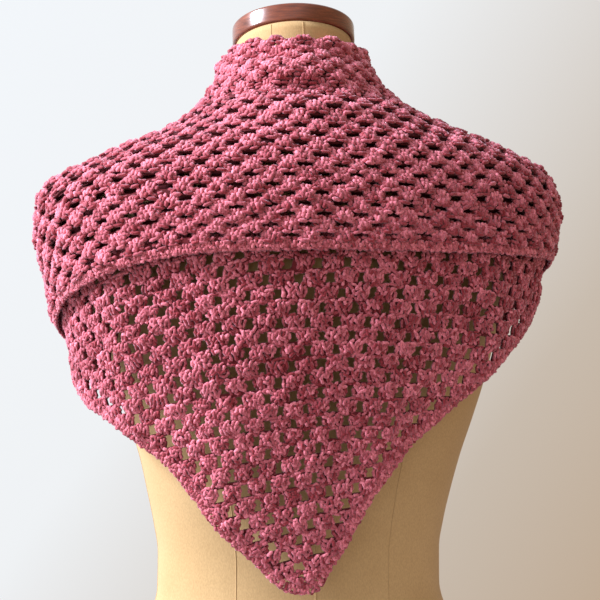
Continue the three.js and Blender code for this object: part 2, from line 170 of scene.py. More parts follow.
# Largest folds. Share is how far down the cape the fold lies.
CAPE_FOLDS = [
    # angle, share, wide, deep, out
    (-4, 0.17, 75, 0.09, 6),
    (66, 0.15, 34, 0.12, 4),
    (-2, 0.4, 60, 0.08, 3.5),
    (-98, 0.46, 34, 0.26, 2.9),
    (-134, 0.85, 8, 0.45, 6),
    (116, 0.8, 9, 0.35, 6),
    (136, 0.85, 7, 0.45, 8),
    (158, 0.6, 8, 0.4, 5),
    (-158, 0.6, 8, 0.4, 5),
]
CAPE_EDGE_LIFT = 1.5  # how far the long side stands off the under layer
PANEL_FOLDS = [
    # angle, wide, out
    (-52, 11, 5),
    (-24, 9, 3),
    (14, 10, 3.5),
    (44, 10, 4),
]


def smooth_column(rows, column):
    """The smooth curve through one column of a table, that never overshoots."""
    at = np.array([row[0] for row in rows], float)
    value = np.array([row[column] for row in rows], float)
    steep = np.diff(value) / np.diff(at)
    before, after = steep[:-1], steep[1:]
    total = np.where(before * after > 0, before + after, 1.0)
    inner = np.where(before * after > 0, 2 * before * after / total, 0.0)
    slope = np.concatenate([[steep[0]], inner, [steep[-1]]])

    def curve(wanted):
        x = np.clip(wanted, at[0], at[-1])
        i = np.clip(np.searchsorted(at, x, side="right") - 1, 0, len(at) - 2)
        wide = at[i + 1] - at[i]
        t = (x - at[i]) / wide
        return (
            value[i] * (2 * t**3 - 3 * t**2 + 1)
            + slope[i] * wide * (t**3 - 2 * t**2 + t)
            + value[i + 1] * (3 * t**2 - 2 * t**3)
            + slope[i + 1] * wide * (t**3 - t**2)
        )

    return curve


def sectioned_body(rows):
    """A body of level sections, as a function of angle and height."""
    left, right, back, mid, front = (smooth_column(rows, c) for c in range(1, 6))

    def face(degrees, z):
        angle = np.radians(degrees)
        sin, cos = np.sin(angle), np.cos(angle)
        middle = mid(z)
        half = np.where(sin > 0, right(z), left(z))
        depth = np.where(cos > 0, back(z) - middle, middle - front(z))
        return np.stack([half * sin, middle + depth * cos, z + 0 * sin], -1)

    return face


form_face = sectioned_body(TORSO + SHOULDERS)
drape_face = sectioned_body(DRAPE)
fold_height = smooth_column(FOLD, 1)
cape_height = [smooth_column(CAPE_LEFT, 1), smooth_column(CAPE_RIGHT, 1)]
panel_height = [smooth_column(PANEL_LEFT, 1), smooth_column(PANEL_RIGHT, 1)]


def unit(vectors):
    length = np.linalg.norm(vectors, axis=-1, keepdims=True)
    return vectors / np.maximum(length, 1e-9)


def normal_of(face, degrees, z):
    """Outward direction of a face."""
    step = math.degrees(0.02)
    along = face(degrees + step, z) - face(degrees - step, z)
    up = face(degrees, z + 1.5) - face(degrees, z - 1.5)
    return unit(np.cross(along, up))


def drape_point(degrees, z, out):
    """A point that stands off the draped face."""
    return drape_face(degrees, z) + normal_of(drape_face, degrees, z) * np.asarray(out)[..., None]


def bell(x):
    """1 in the middle, falling smoothly to 0 at -1 and 1."""
    return np.where(np.abs(x) < 1, (1 + np.cos(np.pi * np.clip(x, -1, 1))) / 2, 0.0)


def by_side(pair, degrees):
    """A height from the left one of a pair of curves, or from the right one."""
    return np.where(degrees < 0, pair[0](np.abs(degrees)), pair[1](np.abs(degrees)))


def panel_rise(degrees, z):
    """How far the under layer's hanging folds stand out."""
    top = fold_height(np.abs(degrees))
    low = by_side(panel_height, degrees)
    share = np.clip((top - z) / (top - low), 0, 1)
    return sum(out * share**2 * bell((degrees - angle) / wide) for angle, wide, out in PANEL_FOLDS)


def cape_lift(degrees, share):
    """How far the cape's folds and its long side stand out."""
    t = np.clip((share - 0.55) / 0.45, 0, 1)
    lift = CAPE_EDGE_LIFT * t * t * (3 - 2 * t)
    for angle, middle, wide, deep, out in CAPE_FOLDS:
        lift = lift + out * bell((degrees - angle) / wide) * bell((share - middle) / deep)
    return lift


def cape_point(along, share, out):
    """along runs from -1, the left front end, to 1, and share from the fold to the long side."""
    side = np.abs(along)
    edge = by_side(cape_height, along * END_LOW)
    top = fold_height(END_TOP * side)
    middle_fall = cape_height[0](0.0) - fold_height(0.0)
    z = top + middle_fall * share + (edge - top - middle_fall) * share**2
    degrees = along * (END_TOP + (END_LOW - END_TOP) * share)
    return drape_point(degrees, z, out + cape_lift(degrees, share) + panel_rise(degrees, z))


# Cloth as rows of clusters.


def waves(sizes, count, seed):
    """Smooth random waves over x and r, between about -1 and 1."""
    own = np.random.default_rng(seed)
    turn = own.uniform(0, 2 * np.pi, count)
    wide = own.uniform(0.7, 1.5, (count, 2))
    phase = own.uniform(0, 2 * np.pi, count)

    def height(x, r):
        total = 0.0
        for i in range(count):
            across = np.cos(turn[i]) * x / (sizes[0] * wide[i, 0])
            up = np.sin(turn[i]) * r / (sizes[1] * wide[i, 1])
            total = total + np.sin(2 * np.pi * (across + up) + phase[i])
        return total / math.sqrt(count)

    return height


CLOTH_REACH = 760.0  # farthest x of the stored points
CLOTH_STEP = 4.0  # millimetres between them
ROW_STEP = 0.125  # rows between them


class Cloth:
    """A cloth surface over x, millimetres along a row from the middle of the back, and r, rows.

    It comes from rows of points and normals, of which the column numbered middle has x = 0. sway
    is how far the places wander along a row and across it, and crumple gives how far the cloth
    stands out.
    """

    def __init__(self, rows, points, normals, middle, sway, crumple):
        self.rows = rows
        self.x = np.arange(-CLOTH_REACH, CLOTH_REACH + 0.5, CLOTH_STEP)
        steps = np.linalg.norm(np.diff(points, axis=1), axis=-1)
        run = np.concatenate([np.zeros((len(rows), 1)), np.cumsum(steps, axis=1)], axis=1)
        run -= run[:, middle : middle + 1]
        self.run = run
        self.sway = sway
        self.crumple = crumple
        self.points = np.empty((len(rows), len(self.x), 3))
        self.normals = np.empty_like(self.points)
        for i in range(len(rows)):
            for c in range(3):
                self.points[i, :, c] = np.interp(self.x, run[i], points[i, :, c])
                self.normals[i, :, c] = np.interp(self.x, run[i], normals[i, :, c])

    def at(self, x, r):
        """Points and unit normals, bilinear between the stored ones, with the small crumples."""
        shifted = x + self.sway[0] * SWAY_X(x, r)
        row = r + self.sway[1] * SWAY_R(x, r)
        i = (row - self.rows[0]) / (self.rows[1] - self.rows[0])
        j = (shifted - self.x[0]) / (self.x[1] - self.x[0])
        i = np.clip(i, 0, len(self.rows) - 1.001)
        j = np.clip(j, 0, len(self.x) - 1.001)
        i0, j0 = i.astype(int), j.astype(int)
        s, t = (i - i0)[..., None], (j - j0)[..., None]
        found = []
        for grid in (self.points, self.normals):
            low = grid[i0, j0] * (1 - t) + grid[i0, j0 + 1] * t
            high = grid[i0 + 1, j0] * (1 - t) + grid[i0 + 1, j0 + 1] * t
            found.append(low * (1 - s) + high * s)
        outward = unit(found[1])
        return found[0] + outward * self.crumple(x, r)[..., None], outward

    def frames(self, x, r):
        """Point, direction along the row, direction across it towards the next row, outward."""
        point, outward = self.at(x, r)
        along = unit(self.at(x + 2, r)[0] - self.at(x - 2, r)[0])
        across = self.at(x, r + 0.2)[0] - self.at(x, r - 0.2)[0]
        across = unit(across - (across * along).sum(-1, keepdims=True) * along)
        outward = unit(outward - (outward * along).sum(-1, keepdims=True) * along)
        return point, along, across, outward


# Waves of the places and of the surface: sizes in millimetres and rows, count and seed.
SWAY_X = waves((90, 6), 5, 11)
SWAY_R = waves((110, 9), 5, 12)
PUCKER = waves((45, 3.5), 6, 13)

CAPE_ROWS = 23
CAPE_COLUMNS = 801
ROLL_ROWS = 1.5  # rows that lie over the roll of the fold
COLLAR_ROWS = 6.5
CREASE_ROW = 6.3  # where the collar folds into the part that lies on the shoulders
CREASE_MIDDLE = -15  # x of the crease's middle
CREASE_REACH = 75


def cape_crumple(x, r):
    """Small crumples, deeper in the collar, and at the back a ridge with a crease below it."""
    collar = np.clip((COLLAR_ROWS + 1 - r) / 2, 0, 1)
    crease = bell((x - CREASE_MIDDLE) / CREASE_REACH)
    ridge = 2.2 * bell((r - CREASE_ROW + 1.1) / 1.2) - 2.8 * bell((r - CREASE_ROW) / 0.8)
    edge = np.clip((CAPE_ROWS - r) / 3, 0, 1)
    return PUCKER(x, r) * (0.55 + 0.75 * collar) * edge + ridge * crease


def panel_crumple(x, r):
    return 0.6 * PUCKER(x, r)


def make_cape():
    """The folded part, from the inner side of its roll over the fold and down to the long side."""
    along = np.linspace(-1, 1, CAPE_COLUMNS)
    rows = np.arange(-ROLL_ROWS, CAPE_ROWS + 0.01, ROW_STEP)
    roll_middle = (UNDER_IN + CAPE_OUT) / 2
    roll_radius = CAPE_MID - roll_middle
    fold_line = cape_point(along, 0 * along, 0 * along)
    fold_out = unit(cape_point(along, 0 * along, 1 + 0 * along) - fold_line)
    fold_up = unit(np.cross(fold_out, np.gradient(fold_line, axis=0)))
    points = np.empty((len(rows), len(along), 3))
    for i, r in enumerate(rows):
        if r >= 0:
            points[i] = cape_point(along, r / CAPE_ROWS + 0 * along, CAPE_MID + 0 * along)
        else:
            turn = math.pi * -r / ROLL_ROWS
            out = roll_middle + roll_radius * math.cos(turn)
            points[i] = fold_line + fold_out * out + fold_up * roll_radius * math.sin(turn)
    normals = unit(np.cross(np.gradient(points, axis=0), np.gradient(points, axis=1)))
    return Cloth(rows, points, normals, CAPE_COLUMNS // 2, (1.5, 0.12), cape_crumple)


PANEL_ROW = 11.2  # height of a row of the under layer
PANEL_TIP = 250.0  # height of the first row's foot below the middle of the back
PANEL_ROWS = 40
PANEL_COLUMNS = 705
PANEL_REACH = 176  # degrees
LOWEST_LEVEL = 130.0
# How the rows of the under layer slope up to the right across the middle, by height, and sag to
# the left and right.
ROW_SLOPE = [(272, 0.19), (315, 0.14), (350, 0.07), (383, 0.02), (472, 0.0), (700, 0.0)]
SAG_LEFT = 0.00175
SAG_RIGHT = 0.0006


def make_panel():
    """The under layer, and how far inside its outline each stored point lies."""
    degrees = np.linspace(-PANEL_REACH, PANEL_REACH, PANEL_COLUMNS)
    middle = PANEL_COLUMNS // 2
    rows = np.arange(-1, PANEL_ROWS + 0.01, ROW_STEP)
    points = np.empty((len(rows), len(degrees), 3))
    inside = np.empty((len(rows), len(degrees)))
    for i, r in enumerate(rows):
        level = PANEL_TIP + PANEL_ROW * r
        slope = np.interp(level, [a for a, _ in ROW_SLOPE], [b for _, b in ROW_SLOPE])
        flat = drape_point(degrees, level + 0 * degrees, UNDER_MID)
        run = np.concatenate([[0], np.cumsum(np.linalg.norm(np.diff(flat, axis=0), axis=-1))])
        run -= run[middle]
        sag = np.where(run < 0, SAG_LEFT, SAG_RIGHT) * run**2 / 2
        z = np.clip(level + slope * run - sag, LOWEST_LEVEL, NECK_TOP)
        points[i] = drape_point(degrees, z, UNDER_MID + panel_rise(degrees, z))
        above = z - by_side(panel_height, degrees)
        below = fold_height(np.abs(degrees)) - 1 - z
        inside[i] = np.minimum(np.minimum(above, below), 2 * (END_TOP - np.abs(degrees)))
    normals = unit(np.cross(np.gradient(points, axis=1), np.gradient(points, axis=0)))
    return Cloth(rows, points, normals, middle, (1.5, 0.1), panel_crumple), inside


cape = make_cape()
panel, panel_inside = make_panel()


BACK_X = -8  # an x that the stretch across the back always has
SHORTEST_STRETCH = 4
WIDEST_STEP = 60  # most that a row's end may lie beside the end of the next
PANEL_PITCH = 20.5  # width of a cluster of the under layer
PANEL_PITCHES = (16, 27)  # and its limits
SHOWN_ROWS = 26  # rows of the under layer that the cape leaves in sight, and some more
LOWER_ROWS = 17  # rows in the first piece of its yarn


def stretches(r):
    """Where row line r of the under layer lies inside its outline: pairs of x."""
    i = int(np.argmin(np.abs(panel.rows - r)))
    depth, run = panel_inside[i], panel.run[i]
    marks = np.flatnonzero((depth[:-1] > 0) != (depth[1:] > 0))
    cross = [
        run[j] + (run[j + 1] - run[j]) * depth[j] / (depth[j] - depth[j + 1]) for j in marks
    ]
    pairs = zip(cross[::2], cross[1::2])
    return [(low, high) for low, high in pairs if high - low > SHORTEST_STRETCH]


def middle_stretch(r):
    """The stretch across the back, or None where the row line is outside the outline there."""
    for low, high in stretches(r):
        if low < BACK_X < high:
            return low, high
    return None


# A cell is the place of one cluster: its row, the middle and width of its foot and of its head, and
# the ends of its row line and of the next.
CELL = ["row", "foot", "foot_pitch", "head", "head_pitch", "low0", "high0", "low1", "high1"]


def panel_row_cells(row):
    """Cells of the stretch across the back. Each row has one cluster more than the one below."""
    foot, head = middle_stretch(row), middle_stretch(row + 1)
    if head is None:
        return []
    if foot is None:
        foot = (sum(head) / 2 - 4, sum(head) / 2 + 4)
    if max(abs(foot[0] - head[0]), abs(foot[1] - head[1])) > WIDEST_STEP:
        foot = head
    wide = head[1] - head[0]
    count = row + 1
    if not PANEL_PITCHES[0] < wide / count < PANEL_PITCHES[1]:
        count = max(1, round(wide / PANEL_PITCH))
    cells = []
    for k in range(count):
        share = k / (count - 1) if count > 1 else 0.5
        foot_pitch = (foot[1] - foot[0]) / max(count - 1, 1)
        cells.append((
            row, foot[0] + (foot[1] - foot[0]) * share, foot_pitch,
            head[0] + wide * (k + 0.5) / count, wide / count, *foot, *head,
        ))
    return cells


def plain_row_cells(row, low, high, pitch):
    """Even cells, straight up."""
    count = max(1, round((high - low) / pitch))
    pitch = (high - low) / count
    middles = low + pitch * (np.arange(count) + 0.5)
    return [(row, m, pitch, m, pitch, low, high, low, high) for m in middles]


back_cells, side_cells = [], []
for row in range(PANEL_ROWS - 1):
    across = panel_row_cells(row)
    (back_cells if row < SHOWN_ROWS else side_cells).extend(across)
    for low, high in stretches(row + 0.5):
        if not low < BACK_X < high:
            side_cells.extend(plain_row_cells(row, low, high, PANEL_PITCH))
back_cells, side_cells = np.array(back_cells), np.array(side_cells)


CAPE_PITCH = 27.6  # width of a cluster of the cape
COLLAR_PITCH = 24.4
NARROWEST_CELL = 0.45  # in shares of the pitch, at a row's ends


def cape_row_cells(row):
    """Clusters in columns, each row half a cluster beside the last."""
    low0, low1 = (np.interp(row + v, cape.rows, cape.run[:, 0]) for v in (0, 1))
    high0, high1 = (np.interp(row + v, cape.rows, cape.run[:, -1]) for v in (0, 1))
    low, high = (low0 + low1) / 2, (high0 + high1) / 2
    pitch = COLLAR_PITCH if row < COLLAR_ROWS else CAPE_PITCH
    shift = 0.5 * (row % 2)
    steps = np.arange(math.ceil(low / pitch - shift), math.floor(high / pitch - shift) + 1)
    edges = [low, *((steps + shift) * pitch), high]
    if edges[1] - edges[0] < pitch * NARROWEST_CELL:
        del edges[1]
    if edges[-1] - edges[-2] < pitch * NARROWEST_CELL:
        del edges[-2]
    return [
        (row, (a + b) / 2, b - a, (a + b) / 2, b - a, low0, high0, low1, high1)
        for a, b in zip(edges, edges[1:])
    ]


cape_cells = np.array([cell for row in range(-1, CAPE_ROWS) for cell in cape_row_cells(row)])


def place_in_cells(cells, u, v):
    """x and r of places in cells: u in shares of a cluster's width, v in shares of its row."""
    column = {name: cells[:, k, None] for k, name in enumerate(CELL)}
    share = np.clip(v, -0.3, 1.2)
    foot = column["foot"] + u * column["foot_pitch"]
    head = column["head"] + u * column["head_pitch"]
    low = column["low0"] + (column["low1"] - column["low0"]) * share
    high = column["high0"] + (column["high1"] - column["high0"]) * share
    x = np.clip(foot + (head - foot) * share, low, high)
    return x, column["row"] + v


# Meshes.


def mesh_object(name, verts, faces, material, smooth=True, marks=None):
    """verts in millimetres. faces is an array of triangles or of quads.

    marks are two numbers for each vertex of yarn: its tone, and how high it stands.
    """
    faces = np.asarray(faces, np.int32)
    mesh = bpy.data.meshes.new(name)
    mesh.vertices.add(len(verts))
    mesh.vertices.foreach_set("co", (np.asarray(verts, float) / 1000).astype(np.float32).ravel())
    sides = faces.shape[1]
    mesh.loops.add(faces.size)
    mesh.loops.foreach_set("vertex_index", faces.ravel())
    mesh.polygons.add(len(faces))
    mesh.polygons.foreach_set("loop_start", np.arange(len(faces), dtype=np.int32) * sides)
    mesh.polygons.foreach_set("use_smooth", np.full(len(faces), smooth))
    mesh.update(calc_edges=True)
    if marks is not None:
        layer = mesh.attributes.new("yarn", "FLOAT_COLOR", "POINT")
        colour = np.ones((len(verts), 4), np.float32)
        colour[:, : marks.shape[1]] = marks
        layer.data.foreach_set("color", colour.ravel())
    mesh.validate()
    piece = bpy.data.objects.new(name, mesh)
    bpy.context.scene.collection.objects.link(piece)
    mesh.materials.append(material)
    return piece


def ball(around, rings):
    """A unit sphere's points and triangles, with its poles on the first axis."""
    points = [(-1, 0, 0)]
    for i in range(1, rings + 1):
        tilt = math.pi * i / (rings + 1)
        for j in range(around):
            turn = 2 * math.pi * (j + 0.5 * (i % 2)) / around
            ring = math.sin(tilt)
            points.append((-math.cos(tilt), ring * math.cos(turn), ring * math.sin(turn)))
    points.append((1, 0, 0))
    faces = []
    for j in range(around):
        k = (j + 1) % around
        faces.append((0, 1 + k, 1 + j))
        for i in range(rings - 1):
            a, b = 1 + i * around, 1 + (i + 1) * around
            faces.append((a + j, a + k, b + j))
            faces.append((a + k, b + k, b + j))
        a = 1 + (rings - 1) * around
        faces.append((len(points) - 1, a + j, a + k))
    return np.array(points, float), np.array(faces)


# Lumps of plush yarn in a cluster. u is the place across it in shares of its width, v up it in
# shares of the row, out in millimetres, long and thick the half sizes of a lump, turn its direction
# in degrees, 0 along the row, and tone how much lighter it is.
# The tone column here is set lower than the cape's: painted shade that makes the under layer's yarn
# darker.
BACK_CLUSTER = [
    # u, v, out, long, thick, turn, tone
    (-0.08, -0.06, 0.9, 2.9, 1.8, 98, -0.1),
    (0.09, -0.06, 0.9, 2.9, 1.8, 84, -0.1),
    (-0.24, 0.03, 0.7, 2.9, 1.8, 140, -0.1),
    (0.25, 0.03, 0.7, 2.9, 1.8, 40, -0.1),
    (-0.16, 0.16, 1.9, 2.9, 1.8, 65, -0.2),
    (0.00, 0.15, 2.2, 2.9, 1.8, 92, 0.0),
    (0.16, 0.16, 1.9, 2.9, 1.8, 118, -0.2),
    (-0.31, 0.22, 0.8, 2.9, 1.8, 100, 0.0),
    (0.31, 0.22, 0.8, 2.9, 1.8, 80, 0.0),
    (-0.33, 0.45, 0.7, 2.9, 1.8, 84, -0.1),
    (0.33, 0.45, 0.7, 2.9, 1.8, 96, -0.1),
    (-0.19, 0.41, 2.0, 2.9, 1.8, 120, 0.0),
    (-0.05, 0.38, 2.6, 2.9, 1.8, 50, -0.1),
    (0.08, 0.40, 2.6, 2.9, 1.8, 130, -0.1),
    (0.20, 0.42, 2.0, 2.9, 1.8, 62, 0.0),
    (-0.27, 0.66, 1.2, 2.9, 1.8, 140, 0.1),
    (-0.12, 0.62, 2.3, 2.9, 1.8, 75, -0.1),
    (0.02, 0.61, 2.5, 2.9, 1.8, 100, -0.2),
    (0.14, 0.63, 2.2, 2.9, 1.8, 60, -0.1),
    (0.28, 0.66, 1.2, 2.9, 1.8, 38, 0.1),
    (-0.21, 0.86, 1.0, 3.2, 1.8, 155, 0.0),
    (-0.02, 0.84, 1.5, 3.0, 1.8, 20, 0.0),
    (0.20, 0.87, 1.0, 3.2, 1.8, 25, 0.0),
    (0.42, 0.83, 0.5, 3.1, 1.8, 165, -0.2),
    (0.58, 0.83, 0.5, 3.1, 1.8, 12, -0.2),
    (0.50, 0.97, 0.6, 3.2, 1.8, 5, -0.1),
]
# On the folded part the wrong side shows: v runs down it, and each cluster is a dome whose wide
# foot overhangs the slit below. Its tone column is painted light: the crown's lumps are lighter,
# a painted highlight, and those of the middle and foot darker, painted shade.
CAPE_CLUSTER = [
    # u, v, out, long, thick, turn, tone
    (-0.25, 0.22, 0.6, 2.9, 2.1, 70, 0.1),
    (-0.21, 0.00, 1.1, 3.1, 2.2, 70, 0.3),
    (-0.12, -0.16, 1.5, 3.2, 2.2, 80, 0.4),
    (0.00, -0.22, 1.7, 3.2, 2.2, 90, 0.4),
    (0.12, -0.16, 1.5, 3.2, 2.2, 100, 0.4),
    (0.21, 0.00, 1.1, 3.1, 2.2, 110, 0.3),
    (0.25, 0.22, 0.6, 2.9, 2.1, 110, 0.1),
    (-0.16, 0.34, 2.0, 3.0, 2.5, 65, 0.0),
    (-0.05, 0.20, 2.4, 3.0, 2.5, 98, 0.1),
    (0.07, 0.21, 2.4, 3.0, 2.5, 78, 0.1),
    (0.17, 0.34, 2.0, 3.0, 2.5, 115, 0.0),
    (-0.36, 0.57, 0.3, 3.4, 2.0, 12, -0.2),
    (-0.24, 0.62, 1.4, 3.0, 2.3, 150, -0.2),
    (-0.11, 0.56, 2.5, 3.1, 2.5, 60, -0.1),
    (0.01, 0.58, 2.7, 3.1, 2.5, 108, -0.1),
    (0.13, 0.58, 2.4, 3.1, 2.5, 72, -0.1),
    (0.24, 0.62, 1.4, 3.0, 2.3, 28, -0.2),
    (0.36, 0.57, 0.3, 3.4, 2.0, 168, -0.2),
    (-0.15, 0.95, 2.2, 4.6, 1.8, 2, -0.2),
    (0.15, 0.95, 2.2, 4.6, 1.8, -2, -0.2),
]
# In the collar the rows are pushed together, so most slits are closed.
COLLAR_CLUSTER = [
    # u, v, out, long, thick, turn, tone
    *CAPE_CLUSTER,
    (-0.17, 1.14, 0.5, 3.4, 2.0, 12, 0.0),
    (0.14, 1.16, 0.5, 3.4, 2.0, -8, 0.0),
]


# Below this height the yarn material paints a lump darker: painted shade in the crevices between
# and under the lumps.
MARK_HEIGHT = 5  # millimetres above the cloth's middle at which a lump's height mark is 1
YARN_TONE = 0.45  # tone mark of the clusters' yarn, of the borders' and of the nets'
BORDER_TONE = 0.52
NET_TONE = 0.4
TONE_SPREAD = 0.24
UNEVEN = 0.13  # spread of the lumps' vertices
BALL = (6, 2)  # vertices round a lump, and rings of them


def lumps_object(name, places, table, material, sizes=BALL):
    """One piece of lumps. places are their centres, directions along, across and outward."""
    centre, along, across, outward = places
    out, long, thick, turn, tone = (value.reshape(-1, 1) for value in table)
    centre = centre + outward * out
    axis = along * np.cos(turn) + across * np.sin(turn)
    beside = np.cross(outward, axis)
    shape, faces = ball(*sizes)
    verts = (
        centre[:, None]
        + axis[:, None] * (shape[None, :, 0:1] * long[..., None])
        + beside[:, None] * (shape[None, :, 1:2] * thick[..., None])
        + outward[:, None] * (shape[None, :, 2:3] * thick[..., None])
    )
    verts += rng.normal(0, UNEVEN, verts.shape).clip(-0.3, 0.3)
    # The height mark, which the yarn material turns into painted shade where it is low.
    height = np.clip((out + shape[None, :, 2] * thick) / MARK_HEIGHT, 0, 1)
    marks = np.stack([np.broadcast_to(tone, height.shape), height], -1)
    index = faces[None] + (np.arange(len(centre)) * len(shape))[:, None, None]
    return mesh_object(
        name, verts.reshape(-1, 3), index.reshape(-1, 3), material, marks=marks.reshape(-1, 2)
    )


def cluster_lumps(name, cloth, cells, table, pitch, slant, wild, sizes=BALL):
    """The clusters of some cells, from a table made for one pitch.

    slant tips the wide end of each one outwards, and wild is how much the lumps' directions vary,
    in degrees. noise varies each lump, and lean each cluster as a whole.
    """
    u, v, out, long, thick, turn, tone = np.array(table).T[:, None]
    noise = rng.normal(0, 1, (len(cells), len(table), 7)).clip(-2, 2)
    lean = rng.normal(0, 1, (len(cells), 5)).clip(-2, 2)[..., None]
    u = u * (1 + 0.04 * lean[:, 4]) + 0.018 * noise[..., 0] + 0.016 * lean[:, 0]
    v = v + 0.035 * noise[..., 1] + 0.035 * lean[:, 1]
    x, r = place_in_cells(cells, u, v)
    out = out + 0.25 * noise[..., 2] + 0.35 * lean[:, 2] + slant * (v - 0.3)
    head_pitch = cells[:, CELL.index("head_pitch"), None]
    long = long * (1 + 0.12 * noise[..., 3]) * (head_pitch / pitch) ** 0.5
    thick = thick * (1 + 0.09 * noise[..., 4])
    turn = np.radians(turn + wild * noise[..., 5] + 5 * lean[:, 3])
    # Tone spreads at random, and a cluster that stands further out (lean[:, 2]) is painted lighter:
    # a painted highlight.
    tone = YARN_TONE + tone + TONE_SPREAD * noise[..., 6] + 0.07 * lean[:, 2]
    places = cloth.frames(x.ravel(), r.ravel())
    return lumps_object(name, places, (out, long, thick, turn, tone), yarn, sizes)


# The nets' cells: height and half width, from the foot up to the band that joins the cells.
BACK_NET = [(-0.14, 0.22), (0.08, 0.31), (0.68, 0.32), (0.76, 0.5), (0.98, 0.5)]
CAPE_NET = [(-0.1, 0.26), (0.2, 0.28), (0.34, 0.31), (0.4, 0.5), (1.0, 0.5)]
COLLAR_NET = [(-0.1, 0.42), (0.14, 0.44), (0.18, 0.46), (0.22, 0.5), (1.0, 0.5)]


def net_object(name, cloth, parts, thick):
    """The cloth's net, in which each cell is a thin closed plate with its outline from a table."""
    verts, faces, start = [], [], 0
    for cells, outline in parts:
        u = np.array([side * half for _, half in outline for side in (-1, 0, 1)])[None]
        v = np.array([height for height, _ in outline for _ in range(3)])[None]
        n, m, levels = len(cells), 3 * len(outline), len(outline)
        x, r = place_in_cells(cells, u, v)
        points, outward = cloth.at(x.ravel(), r.ravel())
        front = points + outward * (thick / 2)
        back = points - outward * (thick / 2)
        verts += [front, back]
        corners = [3 * i + k for i in range(levels - 1) for k in (0, 1)]
        quads = np.array([(a, a + 1, a + 4, a + 3) for a in corners])
        rim = [0, 1, 2, *[3 * i + 2 for i in range(1, levels)]]
        rim += [3 * levels - 2, *[3 * i for i in range(levels - 1, 0, -1)]]
        sides = np.array([(b, a, a + n * m, b + n * m) for a, b in zip(rim, rim[1:] + rim[:1])])
        cell = np.concatenate([quads, quads[:, ::-1] + n * m, sides])
        block = (cell[None] + (np.arange(n) * m)[:, None, None]).reshape(-1, 4)
        a, b, c = front[block[0, 0]], front[block[0, 1]], front[block[0, 2]]
        if np.dot(np.cross(b - a, c - a), outward[0]) < 0:
            block = block[:, ::-1]
        faces.append(block + start)
        start += 2 * n * m
    verts = np.concatenate(verts)
    marks = np.tile([NET_TONE, 0.0], (len(verts), 1))
    return mesh_object(name, verts, np.concatenate(faces), net_yarn_in_shade, smooth=False, marks=marks)


# Borders.

# Lumps of one stitch of a border: place along it in shares of the stitch, across it in
# millimetres from the cloth's edge, out, half sizes and direction, 90 square to the edge.
STITCH = 5.4  # length of one
CORNER_REACH = 3.5  # millimetres of the edge over which its direction is averaged
BORDER_STITCH = [
    # place, across, out, long, thick, turn
    (-0.26, 0.6, 0.9, 2.7, 2.0, 80),
    (0.25, 1.0, 1.2, 2.7, 2.0, 98),
    (-0.06, 3.3, 1.3, 2.7, 2.0, 58),
    (0.46, 3.6, 1.2, 2.6, 1.9, 124),
    (-0.22, 5.6, 0.5, 2.8, 1.8, 20),
    (0.28, 5.7, 0.5, 2.8, 1.8, -14),
]


def border_lumps(name, points, outward):
    """A border beside an edge line, on its side away from the cloth."""
    run = np.concatenate([[0], np.cumsum(np.linalg.norm(np.diff(points, axis=0), axis=-1))])
    tangent = unit(np.gradient(points, axis=0))
    away = unit(np.cross(tangent, outward))
    # Round the corners.
    reach = max(1, int(CORNER_REACH * len(run) / run[-1]))
    weight = np.hanning(2 * reach + 3)[1:-1]
    for c in range(3):
        padded = np.pad(away[:, c], reach, "edge")
        away[:, c] = np.convolve(padded, weight / weight.sum(), "valid")
    away = unit(away)
    count = int(run[-1] / STITCH)
    at = (np.arange(count) + 0.5) * run[-1] / count
    place, across, out, long, thick, turn = np.array(BORDER_STITCH).T[:, None]
    noise = rng.normal(0, 1, (count, len(BORDER_STITCH), 7)).clip(-2, 2)
    place = np.clip(at[:, None] + place * STITCH + 0.5 * noise[..., 0], 0, run[-1]).ravel()

    def along_line(values):
        return np.stack([np.interp(place, run, values[:, c]) for c in range(3)], -1)

    away_here, outward_here = unit(along_line(away)), unit(along_line(outward))
    across = (across + 0.4 * noise[..., 1]).reshape(-1, 1)
    centre = along_line(points) + away_here * across
    along = np.cross(outward_here, away_here)
    out = out + 0.3 * noise[..., 2]
    long = long * (1 + 0.1 * noise[..., 3])
    thick = thick * (1 + 0.1 * noise[..., 4])
    turn = np.radians(turn + 16 * noise[..., 5])
    tone = BORDER_TONE + TONE_SPREAD * noise[..., 6]
    places = (centre, along, away_here, outward_here)
    return lumps_object(name, places, (out, long, thick, turn, tone), border_yarn)


def panel_edge():
    """The slanted sides of the under layer, and the outward directions there."""
    degrees = np.linspace(-END_TOP, END_TOP, 1201)
    low = np.minimum(by_side(panel_height, degrees), fold_height(np.abs(degrees)) - LOWEST_RIB)
    points = drape_point(degrees, low, UNDER_MID + panel_rise(degrees, low))
    outer = drape_point(degrees, low, UNDER_OUT + panel_rise(degrees, low))
    return points, unit(outer - points)


def cape_edge():
    """The left front end of the cape, its long side and its right front end."""
    ends = np.linspace(0.06, 1, 160)
    sides = np.linspace(-1, 1, 1201)
    along = np.concatenate([0 * ends - 1, sides, 0 * ends + 1])
    share = np.concatenate([ends, 0 * sides + 1, ends[::-1]])
    points = cape_point(along, share, CAPE_MID + 0 * along)
    outer = cape_point(along, share, CAPE_OUT + 0 * along)
    return points, unit(outer - points)


# Materials.


